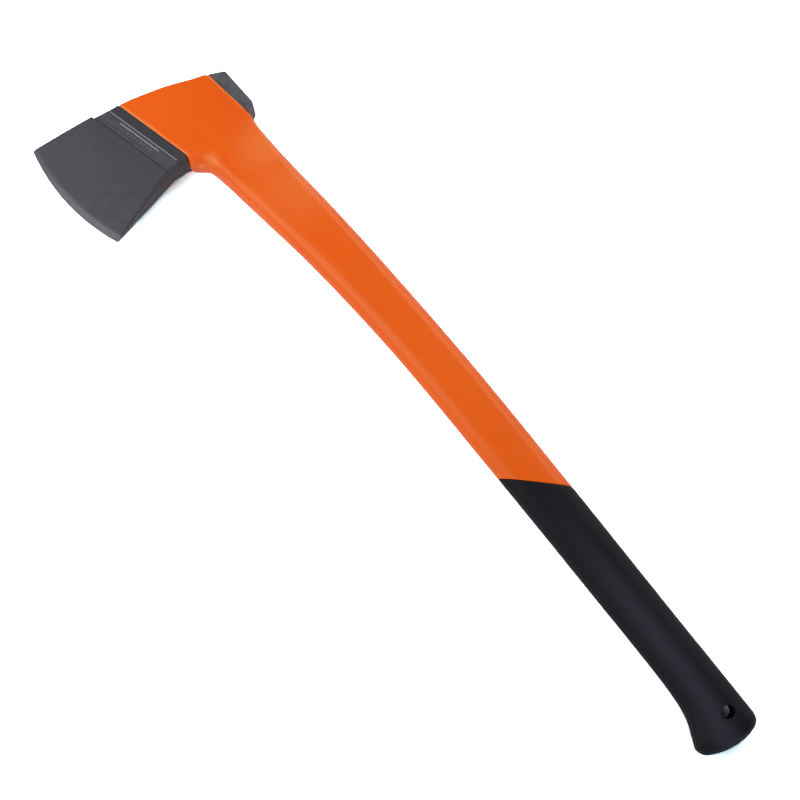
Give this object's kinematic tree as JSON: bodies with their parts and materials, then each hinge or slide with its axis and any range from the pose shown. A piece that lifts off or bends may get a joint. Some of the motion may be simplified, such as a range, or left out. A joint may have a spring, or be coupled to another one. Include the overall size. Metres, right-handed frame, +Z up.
{
  "type": "axe",
  "caption": "Axe lying on its side, with a flat-poll steel head set in a hollow moulded handle, a soft grip over its lower part and a hanging hole near the butt.",
  "frame": {"origin": "under the centre of the axe's bounding box, on the surface that the axe lies on", "axes": "+X from the blade's toe to the butt, +Y from the cutting edge to the poll, +Z up through the thickness of the axe as it lies on its side"},
  "size_m": [0.7002, 0.1746, 0.0346],
  "materials": {
    "head_steel": "dark grey coated forged steel, satin, with a bare ground bevel",
    "orange_plastic": "orange glass-filled nylon, semi-gloss with a very fine texture",
    "grip_rubber": "black soft moulded elastomer, matte",
    "inner_plastic": "dark plastic, matte"
  },
  "bodies": {
    "root": {"axe_head": "head_steel", "handle_shell": "orange_plastic", "grip_sleeve": "grip_rubber", "butt_plug": "inner_plastic", "hang_hole_liner": "inner_plastic"}
  },
  "joints": []
}
